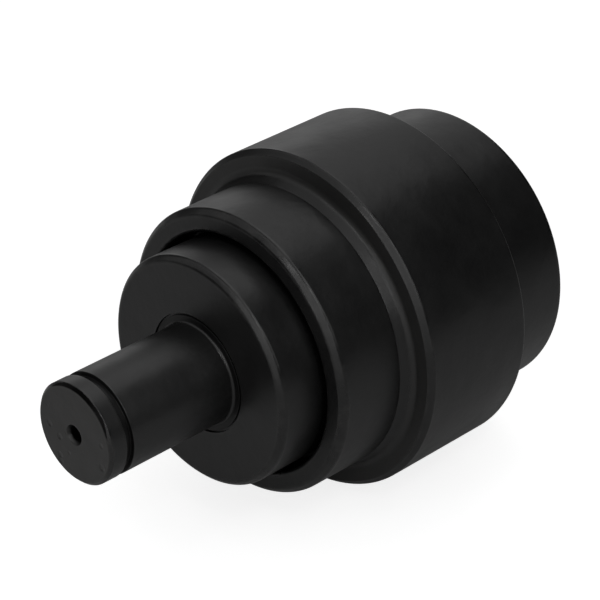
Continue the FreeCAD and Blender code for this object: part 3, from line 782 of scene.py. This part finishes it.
class ROLLER_OT_shaft(bpy.types.Operator):
    """Turn the shaft: journal with its groove, collar seat, bearing length and oil gallery"""
    bl_idname = "roller.shaft"
    bl_label = "Shaft"

    def execute(self, context):
        sizes = context.scene.roller_shaft
        tip, end, bearing = reach("shaft")
        shoulder, collar_end = reach("seal_collar")[:2]
        groove_start = tip + sizes.groove_inset
        groove_end = groove_start + sizes.groove_width
        groove_floor = sizes.journal_radius - sizes.groove_depth
        mouth_depth = (sizes.mouth_radius - sizes.pilot_radius) / math.tan(sizes.mouth_angle)
        front_bush_end = reach("front_bush")[1]
        rear_bush_start = reach("rear_bush")[0]
        ring_low, ring_high, ring_radius = reach("collar_o_ring")
        ring_low -= sizes.ring_room
        ring_high += sizes.ring_room
        ring_floor = ring_radius - sizes.ring_depth
        slope = bearing - sizes.waist_radius
        gallery_end = (front_bush_end + rear_bush_start) / 2 - sizes.gallery_stop
        point = math.tan(sizes.drill_angle)
        piece = lathe("painted_shaft", [
            sharp(0, tip + sizes.pilot_depth + sizes.pilot_radius * point),
            sharp(sizes.pilot_radius, tip + sizes.pilot_depth),
            corner(sizes.pilot_radius, tip + mouth_depth, rounding=HAIR),
            corner(sizes.mouth_radius, tip, rounding=SLIGHT),
            corner(sizes.journal_radius, tip, sizes.tip_chamfer, sizes.tip_rounding),
            *groove(sizes.journal_radius, groove_floor, groove_start, groove_end, SLIGHT),
            corner(sizes.journal_radius, shoulder, rounding=sizes.foot_fillet),
            corner(sizes.seat_radius - sizes.joint_slot, shoulder, rounding=FINE),
            sharp(sizes.seat_radius - sizes.joint_slot, shoulder + sizes.joint_depth),
            sharp(sizes.seat_radius, shoulder + sizes.joint_depth),
            *groove(sizes.seat_radius, ring_floor, ring_low, ring_high),
            sharp(sizes.seat_radius, collar_end),
            corner(bearing, collar_end, LEAD, FINE),
            corner(bearing, front_bush_end, rounding=FINE),
            corner(sizes.waist_radius, front_bush_end + slope, rounding=FINE),
            corner(sizes.waist_radius, rear_bush_start - slope, rounding=FINE),
            corner(bearing, rear_bush_start, rounding=FINE),
            corner(bearing, end, LEAD, FINE),
            corner(sizes.gallery_radius, end, SMALL_CUT, HAIR),
            sharp(sizes.gallery_radius, gallery_end),
            sharp(0, gallery_end - sizes.gallery_radius * point),
        ])
        skin, foot_reach = 0.00015, 0.018
        # Painted shade: the groove, the centre hole, the journal darkening towards the shoulder, and the
        # shoulder face
        groove_shade = Band(tip + 2 * sizes.tip_chamfer, shoulder - sizes.foot_fillet,
                           sizes.journal_radius - skin, softness=0.0005, share=0.45)
        centre_hole = Band(tip + sizes.tip_rounding, shoulder, sizes.mouth_radius,
                           softness=0.0015, share=1.0)
        journal_foot = Band(shoulder - foot_reach, shoulder + PAST, sizes.seat_radius,
                            softness=0.016, share=0.45)
        shoulder_face = Band(shoulder - SLIGHT, shoulder + PAST, sizes.seat_radius, softness=FINE, share=0.5)
        end_place = tip + sizes.tip_chamfer / 3
        # The shaft's paint is a lighter copy of the one satin black: partly painted light, for the light
        # falling more strongly on the free end
        paint = satin_paint("satin_black_shaft", lightness=1.9,
                            rubbed_face=(end_place, sizes.journal_radius - sizes.tip_chamfer),
                            gaps=(groove_shade, centre_hole, journal_foot, shoulder_face))
        ride_and_replace(piece, FIXED, "shaft", paint)
        return {"FINISHED"}


class ROLLER_OT_collar(bpy.types.Operator):
    """Turn the seal collar with its chamfered front and the cavity for the fixed half of the seal"""
    bl_idname = "roller.collar"
    bl_label = "Seal collar"

    def execute(self, context):
        sizes = context.scene.roller_collar
        shaft = context.scene.roller_shaft
        front, rear, radius = reach("seal_collar")
        bore = shaft.seat_radius + sizes.bore_gap
        piece = lathe("painted_collar", [
            corner(bore + HAIR, front, rounding=sizes.joint_edge),
            corner(radius, front, sizes.front_chamfer),
            corner(radius, rear, LEAD, SLIGHT),
            corner(sizes.mouth_radius, rear, SMALL_CUT, HAIR),
            corner(sizes.cavity_radius, rear - sizes.cavity_depth, rounding=sizes.cavity_fillet),
            corner(sizes.sleeve_radius, rear - sizes.cavity_depth, rounding=sizes.cavity_fillet),
            corner(sizes.sleeve_radius, rear, SMALL_CUT, HAIR),
            corner(bore, rear, SMALL_CUT, HAIR),
        ])
        in_front = 0.0005
        # Painted shade: the collar darkens from just in front of the shell into the recess
        inside_recess = Band(reach("roller_shell")[0] - in_front, rear + 2 * PAST, radius + PAST,
                             softness=0.0025, share=0.9)
        ride_and_replace(piece, FIXED, "seal_collar",
                         satin_paint("satin_black_collar", lightness=1.25, gaps=(inside_recess,)))
        return {"FINISHED"}


class ROLLER_OT_shell(bpy.types.Operator):
    """Turn the roller shell: treads, flange, recesses, seal cavity and bores"""
    bl_idname = "roller.shell"
    bl_label = "Roller shell"

    def execute(self, context):
        sizes = context.scene.roller_shell
        cover = context.scene.roller_cover
        front, rear, flange_radius = reach("roller_shell")
        middle = (front + rear) / 2
        flange_front = middle - sizes.flange_width / 2
        flange_rear = middle + sizes.flange_width / 2
        relief = sizes.tread_radius - sizes.relief_depth
        relief_front = flange_front - sizes.relief_width
        relief_rear = flange_rear + sizes.relief_width
        relief_top = relief + sizes.relief_width * math.tan(sizes.relief_slope)
        recess_floor = reach("seal_collar")[1] + sizes.recess_room
        cavity_floor, front_bush_end = reach("front_bush")[:2]
        rear_bush_start, rear_bush_end = reach("rear_bush")[:2]
        front_flange = cavity_floor + sizes.bush_flange
        rear_flange = rear_bush_end - sizes.bush_flange
        pocket_front = front_bush_end + sizes.pocket_inset
        pocket_rear = rear_bush_start - sizes.pocket_inset
        seat = rear - sizes.cover_depth
        piece = lathe("painted_shell", [
            corner(sizes.recess_radius, front, rounding=sizes.recess_edge),
            corner(sizes.tread_radius, front, sizes.tread_chamfer),
            corner(sizes.tread_radius, relief_front - sizes.relief_depth, rounding=sizes.tread_end),
            corner(relief, relief_front, rounding=HAIR),
            corner(relief_top, flange_front, rounding=sizes.relief_fillet),
            corner(flange_radius, flange_front, sizes.flange_chamfer, sizes.chamfer_rounding),
            corner(flange_radius, flange_rear, sizes.flange_chamfer, sizes.chamfer_rounding),
            corner(relief_top, flange_rear, rounding=sizes.relief_fillet),
            corner(relief, relief_rear, rounding=HAIR),
            corner(sizes.tread_radius, relief_rear + sizes.relief_depth, rounding=sizes.tread_end),
            corner(sizes.tread_radius, rear, sizes.tread_chamfer),
            corner(sizes.cover_recess, rear, sizes.cover_edge),
            corner(sizes.cover_recess, seat, rounding=sizes.cover_fillet),
            corner(sizes.spigot_bore, seat, LEAD, FINE),
            sharp(sizes.spigot_bore, rear - sizes.spigot_depth),
            sharp(sizes.bush_seat, rear - sizes.spigot_depth),
            sharp(sizes.bush_seat, rear_flange),
            sharp(sizes.bush_bore, rear_flange),
            sharp(sizes.bush_bore, pocket_rear),
            corner(sizes.pocket_radius, pocket_rear, rounding=sizes.pocket_fillet),
            corner(sizes.pocket_radius, pocket_front, rounding=sizes.pocket_fillet),
            sharp(sizes.bush_bore, pocket_front),
            sharp(sizes.bush_bore, front_flange),
            sharp(sizes.bush_seat, front_flange),
            sharp(sizes.bush_seat, cavity_floor),
            corner(sizes.cavity_radius, cavity_floor, rounding=sizes.inner_fillet),
            corner(sizes.mouth_radius, recess_floor, SMALL_CUT, HAIR),
            corner(sizes.recess_radius, recess_floor, rounding=sizes.inner_fillet),
        ], steps=256)
        holes = bmesh.new()
        for around in bolt_angles(cover.bolt_count):
            add_cylinder(holes, cover.bolt_radius + sizes.hole_room, seat - sizes.hole_depth, seat + PAST,
                         around, cover.bolt_circle)
        drill(piece, holes)
        clean_edge, lit_out, lit_in = 0.0008, 0.0022, 0.002
        # Painted shade: the recess that takes the collar is darkened from just inside its mouth to its floor
        recess = Band(front + clean_edge, recess_floor + PAST, sizes.recess_radius + HAIR,
                      softness=0.002, share=1.0)
        chamfer_foot = flange_radius - sizes.flange_chamfer
        # Painted light: the flange's front and rear faces get paler, matt paint that stands in for light
        # falling on them
        front_face = Band(flange_front - lit_out, flange_front + lit_in, chamfer_foot,
                          softness=0.0015, share=1.0)
        rear_face = Band(flange_rear - lit_in, flange_rear + lit_out, chamfer_foot,
                         softness=0.0015, share=1.0)
        ride_and_replace(piece, TURNING, "roller_shell",
                         satin_paint("satin_black_shell", dusty=(front_face, rear_face), gaps=(recess,)))
        return {"FINISHED"}


class ROLLER_OT_cover(bpy.types.Operator):
    """Turn the end cover: bolted rim, raised middle, spigot and the fill plug's hole"""
    bl_idname = "roller.cover"
    bl_label = "Rear cover"

    def execute(self, context):
        sizes = context.scene.roller_cover
        end, boss, rim = reach("rear_cover")
        seat = end + sizes.spigot_length
        rim_face = seat + sizes.rim_thickness
        pocket = boss - sizes.wall
        groove_high = seat - sizes.ring_inset
        groove_low = groove_high - sizes.ring_width
        groove_floor = sizes.spigot_radius - sizes.ring_depth
        piece = lathe("painted_cover", [
            corner(sizes.plug_hole, pocket, rounding=FINE),
            corner(sizes.pocket_radius, pocket, rounding=sizes.fillet),
            corner(sizes.pocket_radius, seat + sizes.land_depth, rounding=FINE),
            sharp(sizes.spigot_inner, seat + sizes.land_depth),
            corner(sizes.spigot_inner, end, SMALL_CUT, HAIR),
            corner(sizes.spigot_radius, end, LEAD, HAIR),
            *groove(sizes.spigot_radius, groove_floor, groove_low, groove_high),
            sharp(sizes.spigot_radius, seat),
            corner(rim, seat, SMALL_CUT, HAIR),
            corner(rim, rim_face, LEAD, SLIGHT),
            corner(sizes.boss_radius + sizes.boss_slope, rim_face, rounding=sizes.fillet),
            corner(sizes.boss_radius, boss, rounding=sizes.fillet),
            corner(sizes.plug_hole, boss, SLIGHT, HAIR),
        ])
        holes = bmesh.new()
        for around in bolt_angles(sizes.bolt_count):
            add_cylinder(holes, sizes.bolt_radius + sizes.bolt_room, seat - PAST, rim_face + PAST,
                         around, sizes.bolt_circle)
        drill(piece, holes)
        # The cover's paint is a lighter copy of the one satin black: painted light, so that it reads in the
        # dimmer light at the rear
        paint = satin_paint("satin_black_cover", lightness=1.3, marks=0.1, roughness_shift=0.05)
        ride_and_replace(piece, TURNING, "rear_cover", paint)
        return {"FINISHED"}


class ROLLER_OT_fasteners(bpy.types.Operator):
    """Make the cover's bolts, their spring washers and the fill plug"""
    bl_idname = "roller.fasteners"
    bl_label = "Cover fasteners"

    def execute(self, context):
        sizes = context.scene.roller_cover
        # The fasteners' paint is a lighter copy of the one satin black: painted light, so that they read in
        # the dimmer light at the rear
        paint = satin_paint("satin_black_fasteners", lightness=1.3, marks=0.0)
        self.make_bolts(sizes, paint)
        self.make_washers(sizes, paint)
        self.make_plug(sizes, paint)
        return {"FINISHED"}

    def make_bolts(self, sizes, paint):
        low, high = reach("cover_bolts")[:2]
        bm = bmesh.new()
        for around in bolt_angles(sizes.bolt_count):
            add_bolt(bm, sizes, low, high - sizes.bolt_head, around)
        piece = finish_piece("painted_cover_bolts", bm, 25.0)
        soften(piece, SLIGHT, 3, 24)
        ride_and_replace(piece, TURNING, "cover_bolts", paint)

    def make_washers(self, sizes, paint):
        low, high = reach("cover_washers")[:2]
        half = (sizes.washer_radius - sizes.washer_bore) / 2
        middle = (sizes.washer_radius + sizes.washer_bore) / 2
        bm = bmesh.new()
        for around in bolt_angles(sizes.bolt_count):
            section = bmesh.new()
            bmesh.ops.create_grid(section, x_segments=1, y_segments=1, size=1.0)
            bmesh.ops.scale(section, vec=(half, (high - low) / 2, 1), verts=section.verts)
            bmesh.ops.translate(section, vec=(middle, 0, 0), verts=section.verts)
            bmesh.ops.rotate(section, cent=(0, 0, 0), verts=section.verts,
                             matrix=Matrix.Rotation(sizes.washer_split / 2, 3, AXIS))
            bmesh.ops.spin(section, geom=section.verts[:] + section.edges[:] + section.faces[:],
                           cent=(0, 0, 0), axis=AXIS, dvec=(0, 0, 0), steps=60,
                           angle=math.tau - sizes.washer_split)
            seat = Matrix.Translation((sizes.bolt_circle, (low + high) / 2, 0))
            bmesh.ops.transform(section, matrix=Matrix.Rotation(around, 4, AXIS) @ seat, verts=section.verts)
            bmesh.ops.recalc_face_normals(section, faces=section.faces)
            ring = to_mesh("ring", section)
            bm.from_mesh(ring)
            bpy.data.meshes.remove(ring)
        piece = finish_piece("painted_cover_washers", bm)
        soften(piece, FINE, 2, 30)
        ride_and_replace(piece, TURNING, "cover_washers", paint)

    def make_plug(self, sizes, paint):
        low, high = reach("fill_plug")[:2]
        piece = lathe("painted_fill_plug", [
            sharp(0, low),
            corner(sizes.plug_radius, low, SMALL_CUT, HAIR),
            corner(sizes.plug_radius, high, SMALL_CUT, HAIR),
            sharp(0, high),
        ], steps=64)
        key = bmesh.new()
        add_cylinder(key, sizes.plug_key / math.sqrt(3), high - sizes.plug_key_depth, high + PAST,
                     segments=6)
        drill(piece, key)
        ride_and_replace(piece, TURNING, "fill_plug", paint)


class ROLLER_OT_inner_finishes(bpy.types.Operator):
    """Give the pieces inside the roller their bare metal, bronze and rubber finishes"""
    bl_idname = "roller.inner_finishes"
    bl_label = "Inner finishes"

    def execute(self, context):
        look = looks()
        finishes = {
            "machined_steel": turned_metal("turned_steel", look.steel, roughness=0.28),
            "plain_fastener_steel": turned_metal("phosphated_steel", look.phosphate, roughness=0.5,
                                                 pitch=900.0),
            "lapped_seal_metal": turned_metal("cast_seal_metal", look.seal_metal, roughness=0.3,
                                              pitch=1500.0, darker=0.6),
            "bronze": turned_metal("bearing_bronze", look.bronze, roughness=0.3, pitch=1800.0),
            "seal_rubber": matt_rubber("seal_rubber", look.rubber),
        }
        for row in frame["record"]["subparts"]:
            material = finishes.get(row["material_slot"])
            if material:
                node = frame["nodes"][row["node"]]
                node.data.materials.clear()
                node.data.materials.append(material)
        return {"FINISHED"}


class ROLLER_OT_stage(bpy.types.Operator):
    """Lay the floor, light the roller softly and set the camera"""
    bl_idname = "roller.stage"
    bl_label = "Stage"

    def execute(self, context):
        studio = context.scene.roller_studio
        self.make_floor(studio)
        self.make_room(context, studio)
        self.make_lamps(studio)
        self.make_camera(context, studio)
        context.scene.view_settings.view_transform = "Standard"
        return {"FINISHED"}

    def make_floor(self, studio):
        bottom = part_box("roller_shell")[0][2]
        bm = bmesh.new()
        bmesh.ops.create_grid(bm, x_segments=8, y_segments=8, size=studio.floor_size / 2,
                              matrix=Matrix.Translation((0, 0, bottom)))
        floor = finish_piece("floor", bm)
        material, build, shader = new_material("pale_floor")
        build.feed(shader.inputs["Base Color"], studio.floor_colour)
        build.feed(shader.inputs["Roughness"], 0.9)
        build.feed(shader.inputs["Emission Color"], (1.0, 1.0, 1.0))
        away = build.add("ShaderNodeVectorMath", operation="LENGTH")
        build.link(build.object_place(), away.inputs[0])
        far = build.ramp(away.outputs["Value"], studio.floor_near, studio.floor_far, studio.floor_white, 1.0)
        build.link(build.seen_by(far, studio.floor_mirrored), shader.inputs["Emission Strength"])
        floor.data.materials.append(material)

    def make_room(self, context, studio):
        world = bpy.data.worlds.new("studio_room")
        context.scene.world = world
        world.use_nodes = True
        world.node_tree.nodes.clear()
        build = NodeBuilder(world.node_tree)
        room = build.add("ShaderNodeBackground")
        build.feed(room.inputs["Color"], (1.0, 1.0, 1.0))
        seen = build.seen_by(1.0 - studio.room_light, studio.room_mirrored)
        output = build.add("ShaderNodeOutputWorld")
        build.link(build.math("ADD", seen, studio.room_light), room.inputs["Strength"])
        build.link(room.outputs[0], output.inputs["Surface"])

    def make_lamps(self, studio):
        for name, (azimuth, elevation, width, height, brightness) in SOFTBOXES.items():
            lamp = bpy.data.lights.new(name, "AREA")
            lamp.shape = "RECTANGLE"
            lamp.size = width
            lamp.size_y = height
            lamp.energy = math.pi * width * height * brightness
            aim(add_object(name, lamp), math.radians(azimuth), math.radians(elevation),
                studio.softbox_distance)

    def make_camera(self, context, studio):
        camera = bpy.data.cameras.new("camera")
        camera.lens = studio.lens
        camera.sensor_width = 36.0
        camera.clip_end = 20.0
        thing = add_object("camera", camera)
        aim(thing, studio.view_azimuth, studio.view_elevation, studio.view_distance)
        context.scene.camera = thing


class ROLLER_PT_panel(bpy.types.Panel):
    """Sizes, colours and steps of the carrier roller"""
    bl_idname = "ROLLER_PT_panel"
    bl_label = "Carrier Roller"
    bl_space_type = "VIEW_3D"
    bl_region_type = "UI"
    bl_category = "Roller"

    def draw(self, context):
        for operator in OPERATORS:
            self.layout.operator(operator.bl_idname)
        for name in GROUPS:
            box = self.layout.box()
            group = getattr(context.scene, name)
            for prop in group.bl_rna.properties:
                if prop.identifier not in ("rna_type", "name"):
                    box.prop(group, prop.identifier)


OPERATORS = (ROLLER_OT_stage, ROLLER_OT_shaft, ROLLER_OT_collar, ROLLER_OT_shell, ROLLER_OT_cover,
             ROLLER_OT_fasteners, ROLLER_OT_inner_finishes)
GROUPS = {
    "roller_shaft": RollerShaftSizes,
    "roller_collar": RollerCollarSizes,
    "roller_shell": RollerShellSizes,
    "roller_cover": RollerCoverSizes,
    "roller_paint": RollerPaintLook,
    "roller_studio": RollerStudioLook,
}
CLASSES = (*GROUPS.values(), *OPERATORS, ROLLER_PT_panel)


def register():
    for cls in CLASSES:
        bpy.utils.register_class(cls)
    for name, group in GROUPS.items():
        setattr(bpy.types.Scene, name, PointerProperty(type=group))


def unregister():
    for name in GROUPS:
        delattr(bpy.types.Scene, name)
    for cls in reversed(CLASSES):
        bpy.utils.unregister_class(cls)


def main():
    register()
    bpy.ops.roller.stage()
    bpy.ops.roller.shaft()
    bpy.ops.roller.collar()
    bpy.ops.roller.shell()
    bpy.ops.roller.cover()
    bpy.ops.roller.fasteners()
    bpy.ops.roller.inner_finishes()


if __name__ == "__main__":
    main()
